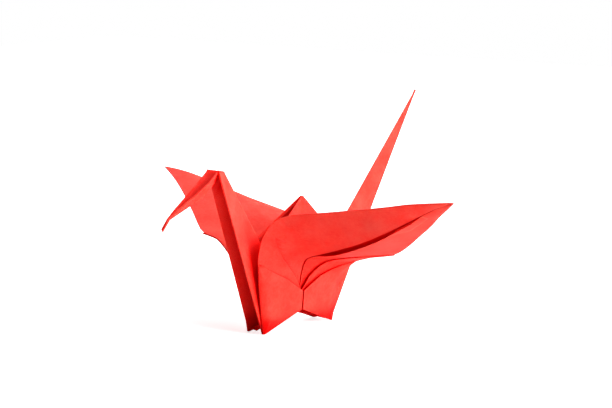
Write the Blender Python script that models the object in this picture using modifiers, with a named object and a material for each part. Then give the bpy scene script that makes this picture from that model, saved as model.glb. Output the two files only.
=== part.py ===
"""Origami crane folded from one square sheet of paper, in metres, +Z up.

The crane looks along +X, its left wing reaches out to +Y, and it stands on the four folded points under its breast
and tail. Every crease follows from the flat pattern: a square folded into halves, kites of 22.5 degrees and thin
kites of 11.25 degrees. A place on that pattern is given as (across, up). Across is measured from the centre line of
a wing, towards the neck. Up is measured from the crotch, where neck, tail and wing part, towards the wing's tip,
which lies half a sheet above it. The neck's and the tail's points lie half a sheet below it.
"""
import math

import bmesh
import bpy
from mathutils import Vector

MM = 0.001

# The sheet of paper.
SHEET_SIDE = 150 * MM
PLY = 0.12 * MM
PART = SHEET_SIDE / 150
KITE_ANGLE = math.radians(22.5)
THIN_KITE_ANGLE = math.radians(11.25)

# What the folds leave open.
WING_GAP = 0.10 * MM
SLIT_WIDTH = 1.1 * MM
STRIP_LIFT = 0.55 * MM
FREE_STRIP_UP = 20 * PART
FLAP_LIFT = 0.65 * MM
FLAP_CLEARANCE = 0.30 * MM
TOP_FLAP_LIFT = 0.60 * MM
HUMP_CLEARANCE = 0.35 * MM
GUSSET_CLEARANCE = 0.5 * MM

# Stacks of plies that lie pressed together.
ARM_WALL = 3 * PLY
FLAP_WALL = 2 * PLY

# The body, as it stands.
LEFT_WALL_FOOT = (1.8 * PART, 2.6 * PART, 5.0 * PART)
RIGHT_WALL_FOOT = (1.0 * PART, -1.6 * PART, 4.6 * PART)
CROTCH = (0.9 * PART, 0.4 * PART, 4.3 * PART)
HUMP_APEX = (-2.0 * PART, 1.2 * PART, 34.2 * PART)

# The neck and the head.
NECK_LEAN = math.radians(35.3)
HEAD_LENGTH = 27.0 * PART
HEAD_DROP = math.radians(25.5)
HEAD_DEPTH = 4.6 * PART
HEAD_CREASE_RISE = math.radians(10.5)
HEAD_HALF_WIDTH = 2.0 * PART
BEAK_TIP_BEND = math.radians(28.0)
BEAK_TIP_LENGTH = 2.2 * PART

# The tail.
TAIL_LEAN = math.radians(44.6)
TAIL_HALF_WIDTH = 1.6 * PART
TAIL_SET_BACK = 1.9 * PART
TAIL_SET_UP = 0.6 * PART

# How each wing leaves the body and was left by the hand, from its foot to its tip. A row holds the distance up the
# sheet, then the centre line's climb and its sweep to the back, and then, for the rib towards the neck and for the
# rib towards the tail, its rise and its turn outwards. Distances are in parts of the sheet and angles in degrees.
LEFT_WING = (
    (-6.0, 89, 0, -2.5, -1, 3.2, 3),
    (6.0, 85, 0, 2, -1, -2, 3),
    (11.0, 75, 5, 2, -2, -4, 10),
    (13.0, 64, 0, 3, -4, -6, 13),
    (15.0, 23, -7, 5, -7, -8, 14),
    (20.0, 11, -13, 17, -16, -8, 15),
    (26.0, 15, -14, 26, -22, -8, 16),
    (32.0, 16, -14, 32, -26, -8, 16),
    (46.0, 23, -12, 34, -27, -7, 16),
    (62.0, 26, -11, 32, -26, -12, 18),
    (75.0, 13, -16, 20, -16, -26, 26),
)
RIGHT_WING = (
    (-6.0, 93, 0, -0.6, 5, 4.7, 3),
    (8.0, 89, 0, 3, 7, -5, -5),
    (13.5, 66, 22, 3, 9, -5, -7),
    (21.0, 42, 12, 1, 12, -2, -14),
    (26.5, 34, 14, -6, 15, -6, -11),
    (32.0, 20, 14, -9, 17, -15, -10),
    (46.0, 11, 15, -10, 17, -22, -10),
    (60.0, 6, 15, -7, 18, -26, -10),
    (75.0, -2, 18, -8, 22, -28, -4),
)

# How finely the curved paper is divided.
BEND_STEP = 1.5 * PART
FLAT_STEP = 5.0 * PART
WING_TIP_CUT = 0.6 * PART

WING_TIP_UP = SHEET_SIDE / 2
HUMP_UP = SHEET_SIDE / math.sqrt(2) - SHEET_SIDE / 2
COLLAR_UP = WING_TIP_UP / math.cos(KITE_ANGLE) - WING_TIP_UP


def half_width(up):
    """Half the width of a wing and of the body below it, where thin folds cut the sides."""
    from_leg = math.tan(THIN_KITE_ANGLE) * (WING_TIP_UP + up)
    from_wing = math.tan(KITE_ANGLE) * (WING_TIP_UP - up)
    return min(from_leg, from_wing)


def shoulder_up():
    """Where the thin fold meets the long edge of the wing."""
    kite, thin = math.tan(KITE_ANGLE), math.tan(THIN_KITE_ANGLE)
    return WING_TIP_UP * (kite - thin) / (kite + thin)


def ridge_foot_up():
    """Where the thin fold meets the sloping ridge of the hump."""
    thin = math.tan(THIN_KITE_ANGLE)
    return (HUMP_UP - WING_TIP_UP * thin) / (1 + thin)


def top_flap_end_up(slope):
    """Where an edge that climbs from the collar with this slope meets the thin fold."""
    thin = math.tan(THIN_KITE_ANGLE)
    return (COLLAR_UP + slope * thin * WING_TIP_UP) / (1 - slope * thin)


def foot_of(lean):
    """(across, up) of the point where the reverse fold of a neck or tail with this lean meets the thin fold."""
    slope = lean / 2
    thin = math.tan(THIN_KITE_ANGLE)
    length = WING_TIP_UP * thin / (math.cos(slope) + thin * math.sin(slope))
    return length * math.cos(slope), -length * math.sin(slope)


def mix(first, second, share):
    return first + (second - first) * share


def spread(count):
    """Shares from 0 to 1 in this many steps."""
    return [step / count for step in range(count + 1)]


class WingSurface:
    """The bent surface of one wing and of the body wall below it, laid out from the flat pattern."""

    STEP = 0.5 * PART

    def __init__(self, side, rows, root):
        self.side = side
        self.rows = rows
        self.root = root
        self.lowest_up = rows[0][0] * PART
        self.path = [self.start_of_path()]
        up = self.lowest_up
        while up < WING_TIP_UP:
            self.path.append(self.path[-1] + self.run(up + self.STEP / 2) * self.STEP)
            up += self.STEP

    def start_of_path(self):
        below = Vector((0, 0, 0))
        up = 0.0
        while up > self.lowest_up:
            below -= self.run(up - self.STEP / 2) * self.STEP
            up -= self.STEP
        return self.root + below

    def angles(self, up):
        """The six angles of the surface at this height on the sheet, in radians."""
        rows = self.rows
        for low, high in zip(rows[:-1], rows[1:]):
            if up / PART <= high[0] or high is rows[-1]:
                share = min(max((up / PART - low[0]) / (high[0] - low[0]), 0), 1)
                return [math.radians(mix(a, b, share)) for a, b in zip(low[1:], high[1:])]

    def run(self, up):
        climb, sweep = self.angles(up)[:2]
        level = math.cos(climb)
        return Vector((-math.sin(sweep) * level, self.side * math.cos(sweep) * level, math.sin(climb)))

    def rib(self, up, towards_neck):
        angles = self.angles(up)
        rise, turn = angles[2:4] if towards_neck else angles[4:6]
        ahead = 1 if towards_neck else -1
        level = math.cos(rise)
        return Vector((ahead * math.cos(turn) * level, self.side * math.sin(turn) * level, math.sin(rise)))

    def centre(self, up):
        place = (up - self.lowest_up) / self.STEP
        index = min(max(int(place), 0), len(self.path) - 2)
        return self.path[index].lerp(self.path[index + 1], place - index)

    def outward(self, up, towards_neck):
        normal = self.run(up).cross(self.rib(up, towards_neck)).normalized()
        return normal * (self.side if towards_neck else -self.side)

    def place(self, across, up, lift=0.0):
        """The point of the pattern in space, lifted off the outer side of the paper by this much."""
        towards_neck = across >= 0
        blend = min(abs(across) / half_width(up), 1) if half_width(up) > 0 else 1
        own = self.outward(up, towards_neck)
        other = self.outward(up, not towards_neck)
        normal = (own * (1 + blend) + other * (1 - blend)).normalized()
        return self.centre(up) + self.rib(up, towards_neck) * abs(across) + normal * lift


def new_object(name, bm):
    bmesh.ops.recalc_face_normals(bm, faces=bm.faces)
    mesh = bpy.data.meshes.new(name)
    bm.to_mesh(mesh)
    bm.free()
    obj = bpy.data.objects.new(name, mesh)
    plies.objects.link(obj)
    return obj


def loft(name, sections, cap):
    """A closed solid through outlines with the same number of points. The cap lists the faces that fill an end."""
    bm = bmesh.new()
    rings = [[bm.verts.new(point) for point in section] for section in sections]
    count = len(rings[0])
    for first, second in zip(rings[:-1], rings[1:]):
        for index in range(count):
            after = (index + 1) % count
            bm.faces.new((first[index], first[after], second[after], second[index]))
    for end in (rings[0], rings[-1]):
        for corners in cap:
            bm.faces.new([end[index] for index in corners])
    bmesh.ops.triangulate(bm, faces=bm.faces)
    return new_object(name, bm)


def ply(name, rows, thickness):
    """A wall of paper: an open surface through rows of points, thickened on both its sides."""
    bm = bmesh.new()
    grid = [[bm.verts.new(point) for point in row] for row in rows]
    for first, second in zip(grid[:-1], grid[1:]):
        for index in range(len(first) - 1):
            bm.faces.new((first[index], first[index + 1], second[index + 1], second[index]))
    bmesh.ops.remove_doubles(bm, verts=bm.verts, dist=0.02 * MM)
    obj = new_object(name, bm)
    solidify = obj.modifiers.new("paper", "SOLIDIFY")
    solidify.thickness = thickness
    solidify.offset = 0
    return obj


def polyline(points, share):
    """The point at this share of the way along straight lines through the points."""
    lengths = [(b - a).length for a, b in zip(points[:-1], points[1:])]
    left = share * sum(lengths)
    for start, end, length in zip(points[:-1], points[1:], lengths):
        if left <= length or end is points[-1]:
            return start.lerp(end, min(left / length, 1))
        left -= length


def rows_up_to(top, bottom=0.0):
    """Heights on the sheet at which the curved paper is divided: close together where it bends, wider elsewhere."""
    ups = [bottom]
    if bottom < 0:
        ups.append(0.0)
    while ups[-1] < top - 0.4 * BEND_STEP:
        bending = 0.9 * COLLAR_UP <= ups[-1] < 1.1 * FREE_STRIP_UP
        step = BEND_STEP if bending else min(FLAT_STEP, max(2 * BEND_STEP, abs(ups[-1] - FREE_STRIP_UP) / 4))
        ups.append(min(ups[-1] + step, top))
    ups[-1] = top
    return ups


def strip_free(up):
    """How free a strip is to lift: not at all under the flaps, and wholly above them."""
    return min(max((up - COLLAR_UP) / (FREE_STRIP_UP - COLLAR_UP), 0), 1)


def wing_section(surface, up):
    """The outline of a folded wing: one full ply inside, and two strips folded over its outer side."""
    width = half_width(up)
    share = min(width / half_width(shoulder_up()), 1)
    slit = SLIT_WIDTH / 2 * share * mix(0.5, 1, strip_free(up))
    rise = STRIP_LIFT * share * strip_free(up)
    middle = PLY + WING_GAP / 2

    def line(parts, reach, lift):
        return [surface.place(part * reach, up, lift) for part in parts]

    def strip(side, parts, lift):
        reach = width - 2 * PLY
        return [surface.place(side * mix(slit, reach, part), up, lift + rise * (1 - part)) for part in parts]

    inward, outward = (1.0, 0.5, 0.0), (0.0, 0.5, 1.0)
    inner = line((1.0, 0.5, 0.0, -0.5, -1.0), width - PLY, 0)
    under = line((-1.0, -0.5, 0.0, 0.5, 1.0), width - 2 * PLY, PLY)
    rear = strip(-1, inward, 2 * PLY + WING_GAP) + strip(-1, outward, PLY + WING_GAP)
    front = strip(1, inward, PLY + WING_GAP) + strip(1, outward, 2 * PLY + WING_GAP)
    return inner + [surface.place(-width, up, middle)] + rear + under + front + [surface.place(width, up, middle)]


def wing_cap():
    """The faces that fill an end of a folded wing: the inner ply, the two strips and the two side folds."""
    inner_ply = [(i, i + 1, 15 - i, 16 - i) for i in range(4)]
    rear_strip = [(6, 7, 10, 11), (7, 8, 9, 10)]
    front_strip = [(17, 18, 21, 22), (18, 19, 20, 21)]
    return inner_ply + rear_strip + front_strip + [(4, 5, 6, 11, 12), (16, 17, 22, 23, 0)]


def make_wing(name, surface):
    """A wing with the body wall that it grows out of."""
    ups = rows_up_to(WING_TIP_UP - WING_TIP_CUT)
    return loft(name, [wing_section(surface, up) for up in ups], wing_cap())


def make_skirt(name, surface, foot, ahead):
    """The part of a leg that stays on the body: from the wing's wall down to the reverse fold."""
    foot_across, foot_up = foot
    rows = []
    for share in (0, 0.3, 0.6, 0.9):
        across = ahead * mix(foot_across, 0, share)
        low = surface.place(across, mix(foot_up, 0, share), PLY + WING_GAP / 2)
        high = surface.place(across, 0.8 * MM, PLY + WING_GAP / 2)
        rows.append([low, high])
    return ply(name, rows, 2 * PLY + WING_GAP - 0.04 * MM)


def make_flap(name, surface, foot, ahead, slope, layer):
    """A layer that lies over a body wall, folded back from its outer edge and free along the middle and the top.

    Its top edge climbs from the collar outwards with this slope, until it meets the outer edge. The layer holds how
    high it rests on the wall, how much farther it lifts in the middle, and how far it keeps inside the outer edge.
    """
    foot_across, foot_up = foot
    rest, lift_at_middle, inset = layer
    if slope > 0.9:
        top = shoulder_up() - 0.4 * MM
    else:
        top = top_flap_end_up(slope) - 0.2 * MM
    rows = []
    for up in rows_up_to(top, foot_up):
        outer = (foot_across if up == foot_up else half_width(up)) - inset
        if up < 0:
            free_edge = outer - 0.4 * MM
        else:
            free_edge = FLAP_CLEARANCE / 2 + max(up - COLLAR_UP, 0) / slope + inset
        row = []
        for part in spread(4):
            across = mix(outer, min(free_edge, outer - 0.4 * MM), part)
            lift = lift_at_middle * (outer - across) / half_width(0)
            row.append(surface.place(ahead * across, up, rest + lift))
        rows.append(row)
    return ply(name, rows, FLAP_WALL)


def ridge_rows(surface, ahead, apex, middle_low, tuck):
    """Rows of a ply inside the body: the two points of its outer edge, and its point on the middle line.

    Up to the foot of the ridge the edge is tucked into the side fold of the wall, and from there on it follows the
    ridge to the apex. The tuck says how far from the fold, and how deep, the ply leaves the wall.
    """
    inset, depth = tuck
    aside = Vector((0, surface.side, 0))
    rows = []
    for up in rows_up_to(ridge_foot_up()):
        middle = middle_low.lerp(apex, up / HUMP_UP)
        edge = surface.place(ahead * (half_width(up) - 0.09 * MM), up, PLY + WING_GAP / 2)
        rows.append((edge, surface.place(ahead * (half_width(up) - inset), up, -depth), middle))
    ridge_foot = surface.place(ahead * half_width(ridge_foot_up()), ridge_foot_up())
    passed = ridge_foot_up() / HUMP_UP
    for share in (0.25, 0.5, 0.75, 0.92, 0.985):
        edge = ridge_foot.lerp(apex, share)
        middle = middle_low.lerp(apex, mix(passed, 1, share))
        near = edge.lerp(middle, min(inset / (middle - edge).length, 0.3))
        taper = 1 - share
        rows.append((edge + aside * (0.08 * MM), near - aside * (depth * taper), middle))
    return rows


def make_hump(name, surface, apex):
    """The face of the hump behind a wing: from the crotch up to the apex, between its two ridges."""
    aside = Vector((0, surface.side, 0))
    low = surface.place(0, 0) - aside * HUMP_CLEARANCE
    top = apex + aside * (0.12 * MM) + Vector((0, 0, 0.1 * MM))
    tuck = (0.9 * MM, 0.15 * MM)
    rows = []
    front_rows = ridge_rows(surface, 1, top, low, tuck)
    rear_rows = ridge_rows(surface, -1, top, low, tuck)
    for (front, inner_front, middle), (rear, inner_rear, _) in zip(front_rows, rear_rows):
        rows.append([front, inner_front, inner_front.lerp(middle, 0.5), middle])
        rows[-1] += [middle.lerp(inner_rear, 0.5), inner_rear, rear]
    return ply(name, rows, PLY)


def make_gusset(name, left, right, foot, ahead, crotch, apex):
    """The inward fold that joins the two body walls at the breast or at the rump."""
    foot_across, foot_up = foot
    low = crotch + Vector((ahead * GUSSET_CLEARANCE, 0, 0.5 * MM))
    high = apex + Vector((ahead * 0.1 * MM, 0, -0.6 * MM))
    tuck = (0.5 * MM, 0.35 * MM)
    below = [crotch + Vector((ahead * GUSSET_CLEARANCE, 0, 0.15 * MM))]
    for surface in (left, right):
        edge = surface.place(ahead * (foot_across - 0.25 * MM), foot_up + 0.3 * MM, PLY / 2)
        inner = surface.place(ahead * (foot_across - 0.8 * MM), foot_up + 0.6 * MM, -0.6 * PLY)
        half = [edge, inner, inner.lerp(below[0], 0.5)]
        below = half + below if surface is left else below + half[::-1]
    rows = [below]
    for one, other in zip(ridge_rows(left, ahead, high, low, tuck), ridge_rows(right, ahead, high, low, tuck)):
        left_edge, left_inner, middle = one
        right_edge, right_inner, _ = other
        rows.append([left_edge, left_inner, left_inner.lerp(middle, 0.5), middle])
        rows[-1] += [middle.lerp(right_inner, 0.5), right_inner, right_edge]
    return ply(name, rows, PLY)


def channel_section(left, spine, right):
    """The outline across a folded arm: two walls that part from a sharp spine."""
    wall = min(ARM_WALL, 0.4 * (left - right).length)

    def inside(lip, other):
        along = (lip - spine).normalized()
        across = (other - lip).normalized()
        return (across - along * across.dot(along)).normalized() * wall

    middle = (left + right) / 2 - spine
    ahead = middle.normalized()
    half_angle = math.acos(min(max((left - spine).normalized().dot(ahead), -1), 1))
    root = spine + ahead * min(wall / max(math.sin(half_angle), 0.02), middle.length * 0.7)
    return [left, spine, right, right + inside(right, left), root, left + inside(left, right)]


def make_arm(name, spine_line, left_line, right_line, steps):
    sections = []
    for share in spread(steps):
        left, spine, right = (polyline(line, share) for line in (left_line, spine_line, right_line))
        sections.append(channel_section(left, spine, right))
    return loft(name, sections, [(0, 1, 4, 5), (1, 2, 3, 4)])


def make_tail(crotch, feet):
    root = crotch + Vector((-TAIL_SET_BACK, 0, TAIL_SET_UP))
    tip = root + Vector((-math.sin(TAIL_LEAN), 0, math.cos(TAIL_LEAN))) * WING_TIP_UP
    last = 0.993
    lips = []
    for side, foot in zip((1, -1), feet):
        middle = foot.lerp(tip, 0.5)
        middle.y = side * TAIL_HALF_WIDTH
        lips.append([foot, middle, foot.lerp(tip, last) + Vector((0, side * 0.25 * MM, 0))])
    start = crotch + Vector((0.6 * MM, 0, -0.2 * MM))
    return make_arm("tail", [start, root.lerp(tip, last)], lips[0], lips[1], 8)


def make_neck_and_beak(crotch, feet):
    neck_length = WING_TIP_UP - HEAD_LENGTH
    nape = crotch + Vector((math.sin(NECK_LEAN), 0, math.cos(NECK_LEAN))) * neck_length
    crown = nape + Vector((math.cos(HEAD_CREASE_RISE), 0, math.sin(HEAD_CREASE_RISE))) * HEAD_DEPTH
    crowns = [crown + Vector((0, side * HEAD_HALF_WIDTH, 0)) for side in (1, -1)]
    start = crotch + Vector((-0.6 * MM, 0, -0.1 * MM))
    make_arm("neck", [start, nape], [feet[0], crowns[0]], [feet[1], crowns[1]], 6)

    bent = HEAD_DROP + BEAK_TIP_BEND
    bend = nape + Vector((math.cos(HEAD_DROP), 0, -math.sin(HEAD_DROP))) * (HEAD_LENGTH - BEAK_TIP_LENGTH)
    tip = bend + Vector((math.cos(bent), 0, -math.sin(bent))) * BEAK_TIP_LENGTH
    start = nape - Vector((0.3 * MM, 0, 0.2 * MM))
    lips = []
    for side, top in zip((1, -1), crowns):
        inset = top + Vector((-0.3 * MM, -side * ARM_WALL * 0.4, -0.1 * MM))
        at_bend = inset.lerp(bend, 0.92) + Vector((0, side * 0.35 * MM, 0.3 * MM))
        lips.append([inset, at_bend, tip + Vector((0.2 * MM, side * 0.3 * MM, 0.45 * MM))])
    make_arm("beak", [start, bend, tip], lips[0], lips[1], 8)


def fold_sheet():
    left = WingSurface(1, LEFT_WING, Vector(LEFT_WALL_FOOT))
    right = WingSurface(-1, RIGHT_WING, Vector(RIGHT_WALL_FOOT))
    crotch, apex = Vector(CROTCH), Vector(HUMP_APEX)
    neck_foot, tail_foot = foot_of(NECK_LEAN), foot_of(TAIL_LEAN)

    base = make_wing("left_wing", left)
    make_wing("right_wing", right)
    neck_feet, tail_feet = [], []
    flap_slope, top_slope = (shoulder_up() - COLLAR_UP) / half_width(shoulder_up()), math.tan(KITE_ANGLE)
    flap_rest = 2 * PLY + WING_GAP - 0.1 * MM + FLAP_WALL / 2
    flap = (flap_rest, FLAP_LIFT, 0.0)
    top_flap = (flap_rest + 0.55 * FLAP_WALL, FLAP_LIFT + TOP_FLAP_LIFT, 0.17 * MM)
    for name, surface in (("left", left), ("right", right)):
        make_hump(name + "_hump", surface, apex)
        for place, foot, ahead in (("_breast", neck_foot, 1), ("_rump", tail_foot, -1)):
            make_flap(name + place + "_flap", surface, foot, ahead, flap_slope, flap)
            make_flap(name + place + "_top_flap", surface, foot, ahead, top_slope, top_flap)
        make_skirt(name + "_breast_skirt", surface, neck_foot, 1)
        make_skirt(name + "_rump_skirt", surface, tail_foot, -1)
        neck_feet.append(surface.place(neck_foot[0] - PLY, neck_foot[1], 1.3 * PLY))
        tail_feet.append(surface.place(PLY - tail_foot[0], tail_foot[1], 1.3 * PLY))
    make_gusset("breast_gusset", left, right, neck_foot, 1, crotch, apex)
    make_gusset("rump_gusset", left, right, tail_foot, -1, crotch, apex)
    make_neck_and_beak(crotch, neck_feet)
    make_tail(crotch, tail_feet)
    return base


def red_paper():
    material = bpy.data.materials.new("red_paper")
    material.use_nodes = True
    shader = material.node_tree.nodes["Principled BSDF"]
    shader.inputs["Base Color"].default_value = (0.9, 0.06, 0.04, 1)
    shader.inputs["Roughness"].default_value = 0.75
    shader.inputs["Metallic"].default_value = 0.0
    return material


def stand_on_origin(obj, holder):
    """Moves the holder so that the object stands on the ground, in the middle of its own width and length."""
    bpy.context.view_layer.update()
    evaluated = obj.evaluated_get(bpy.context.evaluated_depsgraph_get())
    corners = [Vector(corner) for corner in evaluated.bound_box]
    low = Vector([min(corner[axis] for corner in corners) for axis in range(3)])
    high = Vector([max(corner[axis] for corner in corners) for axis in range(3)])
    holder.location = (-(low.x + high.x) / 2, -(low.y + high.y) / 2, -low.z)


for old in list(bpy.data.objects):
    bpy.data.objects.remove(old, do_unlink=True)

crane = bpy.data.collections.new("origami_crane")
plies = bpy.data.collections.new("plies")
bpy.context.scene.collection.children.link(crane)
bpy.context.scene.collection.children.link(plies)

sheet = fold_sheet()
plies.objects.unlink(sheet)
crane.objects.link(sheet)
sheet.name = "folded_sheet"
sheet.data.materials.append(red_paper())
joined = sheet.modifiers.new("folds", "BOOLEAN")
joined.operation = "UNION"
joined.operand_type = "COLLECTION"
joined.collection = plies
joined.solver = "EXACT"
standing_point = bpy.data.objects.new("standing_point", None)
crane.objects.link(standing_point)
sheet.parent = standing_point
for wall in plies.objects:
    wall.parent = standing_point
    wall.hide_render = True
    wall.display_type = "WIRE"
stand_on_origin(sheet, standing_point)
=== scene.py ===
import math

import bpy
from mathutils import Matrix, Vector


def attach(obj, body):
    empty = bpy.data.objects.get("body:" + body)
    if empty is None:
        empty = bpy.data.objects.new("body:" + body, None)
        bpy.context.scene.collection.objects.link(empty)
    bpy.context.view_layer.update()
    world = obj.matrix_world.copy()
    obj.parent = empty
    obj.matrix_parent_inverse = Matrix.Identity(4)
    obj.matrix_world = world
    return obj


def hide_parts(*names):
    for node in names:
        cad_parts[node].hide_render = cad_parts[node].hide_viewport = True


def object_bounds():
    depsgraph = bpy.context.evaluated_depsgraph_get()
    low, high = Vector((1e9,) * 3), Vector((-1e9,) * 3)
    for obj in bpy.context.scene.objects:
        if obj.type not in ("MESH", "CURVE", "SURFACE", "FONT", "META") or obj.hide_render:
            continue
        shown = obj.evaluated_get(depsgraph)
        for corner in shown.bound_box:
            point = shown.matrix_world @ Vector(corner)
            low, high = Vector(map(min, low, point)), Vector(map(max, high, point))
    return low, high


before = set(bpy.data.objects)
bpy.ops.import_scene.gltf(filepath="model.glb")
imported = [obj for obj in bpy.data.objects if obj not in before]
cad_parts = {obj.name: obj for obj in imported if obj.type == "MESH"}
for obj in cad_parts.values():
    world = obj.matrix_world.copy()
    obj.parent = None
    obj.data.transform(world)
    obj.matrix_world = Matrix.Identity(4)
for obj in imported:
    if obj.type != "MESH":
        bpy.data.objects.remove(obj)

cad_box = [list(corner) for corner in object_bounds()]
crane_middle = (Vector(cad_box[0]) + Vector(cad_box[1])) / 2
scene = bpy.context.scene
bpy.ops.object.select_all(action="DESELECT")

# The crane is one square of thin red paper, folded by hand and then opened out. The folded solid is kept as it is, and
# a copy with its loose triangles merged gets smooth bends between the creases, as sprung paper has.
loose_gap = 0.000002
softest_crease = math.radians(24)
crane = bpy.data.objects.new("paper_crane", bpy.data.objects["folded_sheet"].data.copy())
scene.collection.objects.link(crane)
bpy.context.view_layer.objects.active = crane
crane.select_set(True)
bpy.ops.object.mode_set(mode="EDIT")
bpy.ops.mesh.select_all(action="SELECT")
bpy.ops.mesh.remove_doubles(threshold=loose_gap)
bpy.ops.object.mode_set(mode="OBJECT")
bpy.ops.object.shade_smooth_by_angle(angle=softest_crease)
crane.select_set(False)

# Two strips are folded over the under side of the left wing and meet along its middle. The rear one has sprung a
# little away from the wing, so a slit with a deep red shadow opens between them and runs out to the tip.
millimetre = 0.001
middle = [
    (2.6, 5.7, 19.8), (3.4, 9.5, 20.8), (4.5, 14.2, 21.9), (5.9, 19.8, 23.6), (7.3, 25.4, 25.4), (8.9, 32.7, 28.2),
    (10.4, 39.8, 31.4), (11.8, 46.9, 34.9), (12.9, 52.3, 37.2), (13.9, 56.0, 38.4), (14.5, 58.2, 39.0),
]
middle = [Vector(point) * millimetre for point in middle]
under_front = Vector((0.62, 0.14, -0.77)).normalized()
under_rear = Vector((0.22, 0.28, -0.93)).normalized()
front_moves_in = 0.3 * millimetre
rear_moves_out = 0.6 * millimetre
strips_begin = 0.24 * millimetre
strips_end = 3 * millimetre
opening_run = 8 * millimetre
broad_strip = 10 * millimetre
width_per_length = 0.41
least_half_width = 0.3 * millimetre
for vertex in crane.data.vertices:
    point = vertex.co
    if point.y < middle[0].y or point.y > middle[-1].y:
        continue
    for start, end in zip(middle[:-1], middle[1:]):
        along = (point - start).dot(end - start) / (end - start).length_squared
        if along <= 1 or end is middle[-1]:
            break
    nearest = start.lerp(end, min(max(along, 0), 1))
    offset = point - nearest
    in_front = offset.x > 0
    under = under_front if in_front else under_rear
    height = offset.dot(under)
    across = (offset - under * height).length
    half_width = max(width_per_length * (middle[-1] - nearest).length, least_half_width)
    if across > half_width or height < strips_begin or height > strips_end:
        continue
    opened = min((nearest.y - middle[0].y) / opening_run, 1) * (1 - across / half_width) ** 1.5
    if in_front:
        vertex.co -= under * opened * front_moves_in * min(half_width / broad_strip, 1)
    else:
        vertex.co += under * opened * rear_moves_out

# The folded beak stands open along its top: its right wall stays in place, and its left wall and its crease hang away
# from it, from the head to the blunt tip.
right_lip_start = Vector((33.65, -3.79, 44.33)) * millimetre
right_lip_end = Vector((52.8, -2.1, 31.5)) * millimetre
lip = right_lip_end - right_lip_start
wider, deeper = 0.35, 0.8
opening_share = 0.25
for vertex in crane.data.vertices:
    along = (vertex.co - right_lip_start).dot(lip) / lip.length_squared
    if vertex.co.x < right_lip_start.x or along < 0:
        continue
    opened = min(along / opening_share, 1)
    nearest = right_lip_start + lip * min(along, 1)
    vertex.co.y = nearest.y + (vertex.co.y - nearest.y) * (1 + wider * opened)
    vertex.co.z = nearest.z + (vertex.co.z - nearest.z) * (1 + deeper * opened)

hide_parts("folded_sheet")
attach(crane, "root")


# Dyed origami paper is matt. Up close it is mottled by its fibres and has a fine tooth, it lets some red light through
# its thin plies, and the dye is worn a little lighter along the folded edges. Both faces have one colour, but the
# photograph shows the folds as pure deep red, so painted shade is put into the colour: it is painted redder, and at
# the bottom of narrow folds darker, by how closed in a point is.
def paper_fibres():
    """Fibre clouds and fine tooth: a tint between 0 and 1, a roughness and a height, all on object coordinates."""
    group = bpy.data.node_groups.new("paper fibres", "ShaderNodeTree")
    group.interface.new_socket("Cloud Scale", in_out="INPUT", socket_type="NodeSocketFloat")
    group.interface.new_socket("Fibre Scale", in_out="INPUT", socket_type="NodeSocketFloat")
    group.interface.new_socket("Mottle", in_out="OUTPUT", socket_type="NodeSocketFloat")
    group.interface.new_socket("Roughness", in_out="OUTPUT", socket_type="NodeSocketFloat")
    group.interface.new_socket("Height", in_out="OUTPUT", socket_type="NodeSocketFloat")
    nodes, links = group.nodes, group.links
    given = nodes.new("NodeGroupInput")
    result = nodes.new("NodeGroupOutput")
    place = nodes.new("ShaderNodeTexCoord")
    clouds = nodes.new("ShaderNodeTexNoise")
    clouds.inputs["Detail"].default_value = 3
    fibres = nodes.new("ShaderNodeTexNoise")
    fibres.inputs["Detail"].default_value = 5
    fibres.inputs["Distortion"].default_value = 0.8
    both = nodes.new("ShaderNodeMath")
    both.operation = "ADD"
    mottle = nodes.new("ShaderNodeMapRange")
    mottle.inputs["From Min"].default_value = 0.75
    mottle.inputs["From Max"].default_value = 1.25
    roughness = nodes.new("ShaderNodeMapRange")
    roughness.inputs["To Min"].default_value = 0.60
    roughness.inputs["To Max"].default_value = 0.80
    links.new(place.outputs["Object"], clouds.inputs["Vector"])
    links.new(place.outputs["Object"], fibres.inputs["Vector"])
    links.new(given.outputs["Cloud Scale"], clouds.inputs["Scale"])
    links.new(given.outputs["Fibre Scale"], fibres.inputs["Scale"])
    links.new(clouds.outputs["Fac"], both.inputs[0])
    links.new(fibres.outputs["Fac"], both.inputs[1])
    links.new(both.outputs["Value"], mottle.inputs["Value"])
    links.new(mottle.outputs["Result"], result.inputs["Mottle"])
    links.new(fibres.outputs["Fac"], roughness.inputs["Value"])
    links.new(roughness.outputs["Result"], result.inputs["Roughness"])
    links.new(fibres.outputs["Fac"], result.inputs["Height"])
    return group


def fold_wear():
    """How near a point lies to a sharp edge of the paper, from 0 on a flat face to 1 on the edge."""
    group = bpy.data.node_groups.new("fold wear", "ShaderNodeTree")
    group.interface.new_socket("Reach", in_out="INPUT", socket_type="NodeSocketFloat")
    group.interface.new_socket("Wear", in_out="OUTPUT", socket_type="NodeSocketFloat")
    nodes, links = group.nodes, group.links
    given = nodes.new("NodeGroupInput")
    result = nodes.new("NodeGroupOutput")
    rounded = nodes.new("ShaderNodeBevel")
    rounded.samples = 4
    surface = nodes.new("ShaderNodeNewGeometry")
    agree = nodes.new("ShaderNodeVectorMath")
    agree.operation = "DOT_PRODUCT"
    wear = nodes.new("ShaderNodeMapRange")
    wear.inputs["From Min"].default_value = 0.97
    wear.inputs["From Max"].default_value = 0.70
    links.new(given.outputs["Reach"], rounded.inputs["Radius"])
    links.new(rounded.outputs["Normal"], agree.inputs[0])
    links.new(surface.outputs["Normal"], agree.inputs[1])
    links.new(agree.outputs["Value"], wear.inputs["Value"])
    links.new(wear.outputs["Result"], result.inputs["Wear"])
    return group


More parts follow.
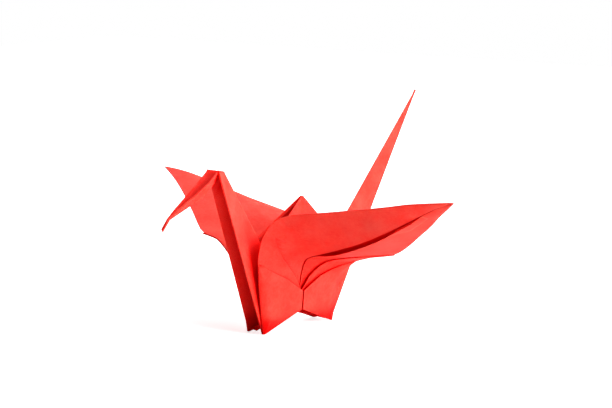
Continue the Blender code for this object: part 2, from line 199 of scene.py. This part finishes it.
def painted_fold_shade_mask():
    """Mask for the painted shade in the folds, by how deep a point lies between plies: Shade is 1 soon inside a fold,
    Depth only at the bottom of a narrow one.
    """
    group = bpy.data.node_groups.new("painted fold shade mask", "ShaderNodeTree")
    group.interface.new_socket("Reach", in_out="INPUT", socket_type="NodeSocketFloat")
    group.interface.new_socket("Shade", in_out="OUTPUT", socket_type="NodeSocketFloat")
    group.interface.new_socket("Depth", in_out="OUTPUT", socket_type="NodeSocketFloat")
    nodes, links = group.nodes, group.links
    given = nodes.new("NodeGroupInput")
    result = nodes.new("NodeGroupOutput")
    openness = nodes.new("ShaderNodeAmbientOcclusion")
    openness.samples = 6
    shade = nodes.new("ShaderNodeMapRange")
    shade.inputs["From Min"].default_value = 0.86
    shade.inputs["From Max"].default_value = 0.74
    depth = nodes.new("ShaderNodeMapRange")
    depth.inputs["From Min"].default_value = 0.84
    depth.inputs["From Max"].default_value = 0.55
    links.new(given.outputs["Reach"], openness.inputs["Distance"])
    links.new(openness.outputs["AO"], shade.inputs["Value"])
    links.new(openness.outputs["AO"], depth.inputs["Value"])
    links.new(shade.outputs["Result"], result.inputs["Shade"])
    links.new(depth.outputs["Result"], result.inputs["Depth"])
    return group


red_paper = bpy.data.materials.new("red paper")
red_paper.use_nodes = True
nodes, links = red_paper.node_tree.nodes, red_paper.node_tree.links
shader = nodes["Principled BSDF"]
shader.inputs["Specular IOR Level"].default_value = 0.1
shader.inputs["Specular Tint"].default_value = (1.0, 0.92, 0.76, 1)
shader.inputs["Subsurface Weight"].default_value = 0.45
shader.inputs["Subsurface Radius"].default_value = (1.0, 0.05, 0.03)
shader.inputs["Subsurface Scale"].default_value = 0.0008
fibres = nodes.new("ShaderNodeGroup")
fibres.node_tree = paper_fibres()
fibres.inputs["Cloud Scale"].default_value = 160
fibres.inputs["Fibre Scale"].default_value = 1300
edges = nodes.new("ShaderNodeGroup")
edges.node_tree = fold_wear()
edges.inputs["Reach"].default_value = 0.0003
tint = nodes.new("ShaderNodeMix")
tint.data_type = "RGBA"
tint.inputs["A"].default_value = (0.945, 0.026, 0.0165, 1)
tint.inputs["B"].default_value = (0.985, 0.052, 0.036, 1)
worn = nodes.new("ShaderNodeMix")
worn.data_type = "RGBA"
worn.inputs["B"].default_value = (0.99, 0.10, 0.07, 1)
share = nodes.new("ShaderNodeMath")
share.operation = "MULTIPLY"
share.inputs[1].default_value = 0.5
# Painted shade: inside the folds the colour is painted pure red, and at the bottom of narrow folds a darker red.
fold_shade = nodes.new("ShaderNodeGroup")
fold_shade.node_tree = painted_fold_shade_mask()
fold_shade.inputs["Reach"].default_value = 0.006
painted_shade = nodes.new("ShaderNodeMix")
painted_shade.data_type = "RGBA"
painted_shade.inputs["B"].default_value = (0.93, 0.0, 0.0, 1)
painted_deep_shade = nodes.new("ShaderNodeMix")
painted_deep_shade.data_type = "RGBA"
painted_deep_shade.inputs["B"].default_value = (0.64, 0.0, 0.0, 1)
tooth = nodes.new("ShaderNodeBump")
tooth.inputs["Strength"].default_value = 0.12
tooth.inputs["Distance"].default_value = 0.0001
links.new(fibres.outputs["Mottle"], tint.inputs["Factor"])
links.new(edges.outputs["Wear"], share.inputs[0])
links.new(share.outputs["Value"], worn.inputs["Factor"])
links.new(tint.outputs["Result"], worn.inputs["A"])
links.new(worn.outputs["Result"], painted_shade.inputs["A"])
links.new(fold_shade.outputs["Shade"], painted_shade.inputs["Factor"])
links.new(painted_shade.outputs["Result"], painted_deep_shade.inputs["A"])
links.new(fold_shade.outputs["Depth"], painted_deep_shade.inputs["Factor"])
links.new(painted_deep_shade.outputs["Result"], shader.inputs["Base Color"])
links.new(fibres.outputs["Roughness"], shader.inputs["Roughness"])
links.new(fibres.outputs["Height"], tooth.inputs["Height"])
links.new(tooth.outputs["Normal"], shader.inputs["Normal"])
crane.data.materials.clear()
crane.data.materials.append(red_paper)

# The photograph is taken on plain white, so the crane stands on a white sheet. Seen by the camera the sheet glows
# enough to be pure white, and only the crane's own shadow under its points stays a little darker. It ends before its
# dimmer far part comes into the picture, where the white room takes over.
glow_to_camera = 0.74
white_sheet = bpy.data.materials.new("white sheet")
white_sheet.use_nodes = True
nodes, links = white_sheet.node_tree.nodes, white_sheet.node_tree.links
matt = nodes["Principled BSDF"]
matt.inputs["Base Color"].default_value = (0.86, 0.86, 0.86, 1)
matt.inputs["Roughness"].default_value = 0.9
matt.inputs["Specular IOR Level"].default_value = 0.0
matt.inputs["Emission Color"].default_value = (1, 1, 1, 1)
seen = nodes.new("ShaderNodeLightPath")
glow = nodes.new("ShaderNodeMath")
glow.operation = "MULTIPLY"
glow.inputs[1].default_value = glow_to_camera
links.new(seen.outputs["Is Camera Ray"], glow.inputs[0])
links.new(glow.outputs["Value"], matt.inputs["Emission Strength"])

bpy.ops.mesh.primitive_plane_add(size=1.4, location=(0, 0, 0))
floor = bpy.context.active_object
floor.name = "floor"
floor.data.materials.append(white_sheet)

# The room gives a weak even light and is plain white to the camera.
world = bpy.data.worlds.new("studio")
world.use_nodes = True
nodes, links = world.node_tree.nodes, world.node_tree.links
room = nodes["Background"]
room.inputs["Color"].default_value = (1, 1, 1, 1)
room.inputs["Strength"].default_value = 0.08
white = nodes.new("ShaderNodeBackground")
white.inputs["Color"].default_value = (1, 1, 1, 1)
seen = nodes.new("ShaderNodeLightPath")
either = nodes.new("ShaderNodeMixShader")
links.new(seen.outputs["Is Camera Ray"], either.inputs["Fac"])
links.new(room.outputs["Background"], either.inputs[1])
links.new(white.outputs["Background"], either.inputs[2])
links.new(either.outputs["Shader"], nodes["World Output"].inputs["Surface"])
scene.world = world


# A large soft lamp stands low beside the crane's left wing and lights the walls that face it, so the insides of the
# neck and of the beak stay in shade; their deep red is partly this shade and partly painted shade in the paper's
# colour.
# Weaker lamps stand behind the tail, behind the right wing and above.
def soft_lamp(name, turn, rise, watts, width=0.5, distance=0.8):
    away = Vector((math.cos(rise) * math.cos(turn), math.cos(rise) * math.sin(turn), math.sin(rise)))
    light = bpy.data.lights.new(name, "AREA")
    light.size = width
    light.energy = watts
    lamp = bpy.data.objects.new(name, light)
    lamp.location = crane_middle + away * distance
    lamp.rotation_euler = away.to_track_quat("Z", "Y").to_euler()
    scene.collection.objects.link(lamp)


soft_lamp("side lamp", math.radians(98), math.radians(8), 14.5)
soft_lamp("tail lamp", math.radians(160), math.radians(8), 3.5)
soft_lamp("back lamp", math.radians(218), math.radians(40), 2.5)
soft_lamp("top lamp", math.radians(120), math.radians(70), 6.0)

# The camera looks from before the crane's left wing, a little above it, from about arm's length. Its angles, its lens,
# the fitted point and the two small shifts of its aim come from fitting it to the photograph.
turn, rise = math.radians(38.05), math.radians(7.98)
towards_camera = Vector((math.cos(rise) * math.cos(turn), math.cos(rise) * math.sin(turn), math.sin(rise)))
rightwards = Vector((-math.sin(turn), math.cos(turn), 0))
upwards = towards_camera.cross(rightwards)
fitted_point = Vector((0.00049, -0.00219, 0.03002))
shift_right, shift_up, camera_distance = 0.00326, 0.00197, 0.7
aim = fitted_point + rightwards * shift_right + upwards * shift_up
lens = bpy.data.cameras.new("photo camera")
lens.lens = 158
lens.sensor_width = 36
lens.clip_start = 0.01
camera = bpy.data.objects.new("photo camera", lens)
camera.location = aim + towards_camera * camera_distance
camera.rotation_euler = towards_camera.to_track_quat("Z", "Y").to_euler()
scene.collection.objects.link(camera)
scene.camera = camera
scene.view_settings.view_transform = "Standard"
